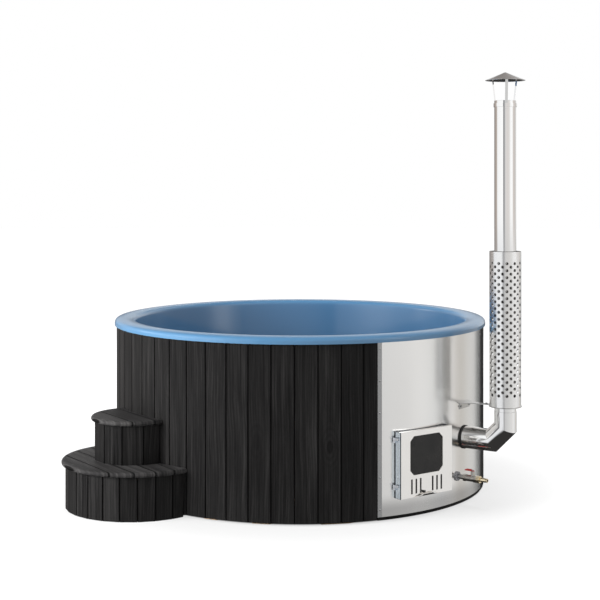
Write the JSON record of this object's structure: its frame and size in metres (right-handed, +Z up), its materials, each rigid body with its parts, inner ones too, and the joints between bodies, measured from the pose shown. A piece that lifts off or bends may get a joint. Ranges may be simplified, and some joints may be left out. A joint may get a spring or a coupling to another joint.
{
  "type": "wooden hot tub",
  "caption": "Round wood-clad hot tub with a moulded liner, a wood-fired stove behind a steel panel, a guarded chimney, a drain valve and half-round steps.",
  "frame": {"origin": "on the floor, on the upright axis of the round tub", "axes": "+Z up; the fire door faces -Y; the steps stand at -X"},
  "size_m": [2.6314, 2.4881, 2.405],
  "materials": {
    "stained_wood": "dark stain, matt",
    "tread_wood": "dark stain, matt",
    "frame_wood": "plain softwood",
    "liner": "gloss",
    "satin_steel": "satin",
    "polished_steel": "polished",
    "plain_steel": "mill",
    "cast_iron": "rough",
    "dark_glass": "smoked",
    "rope": "woven glass fibre",
    "foam": "foam",
    "black_plastic": "matt",
    "black_rubber": "matt",
    "grey_plastic": "matt",
    "nickel": "plated, dull",
    "red_paint": "gloss",
    "brass": "machined"
  },
  "bodies": {
    "tub": {"floor_joists": "frame_wood", "floor_insulation": "foam", "lower_hoop": "frame_wood", "middle_hoop": "frame_wood", "upper_hoop": "frame_wood", "plinth_strip": "stained_wood", "panel_battens": "frame_wood", "cladding_boards": "stained_wood", "tub_liner": "liner", "steel_panel": "satin_steel", "panel_trims": "satin_steel", "panel_screws": "polished_steel", "stove_stand": "plain_steel", "fire_chamber": "plain_steel", "water_jacket": "plain_steel", "smoke_box": "plain_steel", "fire_grate": "cast_iron", "ash_pan": "plain_steel", "water_pipes": "plain_steel", "water_grilles": "satin_steel", "door_frame": "satin_steel", "hinge_leaves": "satin_steel", "hinge_pins": "polished_steel", "door_catch": "plain_steel", "flue_seal": "black_rubber", "flue_elbow": "polished_steel", "flue_pipe": "polished_steel", "flue_guard": "polished_steel", "guard_spacers": "plain_steel", "cap_band": "polished_steel", "cap_straps": "polished_steel", "rain_cap": "polished_steel", "chimney_bracket": "satin_steel", "bracket_bolts": "polished_steel", "drain_tube": "grey_plastic", "drain_strainer": "satin_steel", "drain_flange": "grey_plastic", "drain_nipple": "plain_steel", "valve_body": "nickel", "hose_tail": "brass", "low_step_frame": "frame_wood", "low_step_staves": "stained_wood", "low_tread": "tread_wood", "high_step_frame": "frame_wood", "high_step_staves": "stained_wood", "high_tread": "tread_wood"},
    "door": {"door_panel": "satin_steel", "door_knuckles": "satin_steel", "window_seal": "rope", "window_glass": "dark_glass", "window_retainer": "plain_steel", "door_rope_seal": "rope", "door_lip": "satin_steel", "door_striker": "plain_steel", "slide_rails": "plain_steel"},
    "air_slide_body": {"air_slide": "plain_steel", "slide_knob": "black_plastic"},
    "drain_lever": {"valve_plug": "plain_steel", "valve_lever": "red_paint", "lever_nut": "plain_steel"}
  },
  "joints": [
    {"name": "door_hinge", "type": "hinge", "parent": "tub", "child": "door", "pos_m": [-0.198, -1.093, 0.29], "axis": [0, 0, -1], "range_deg": [0, 110]},
    {"name": "air_slide_travel", "type": "slide", "parent": "door", "child": "air_slide_body", "axis": [1, 0, 0], "range_m": [0, 0.016]},
    {"name": "drain_valve_turn", "type": "hinge", "parent": "tub", "child": "drain_lever", "pos_m": [0.32069, -1.15636, 0.2], "axis": [0, 0, 1], "range_deg": [0, 90]}
  ]
}
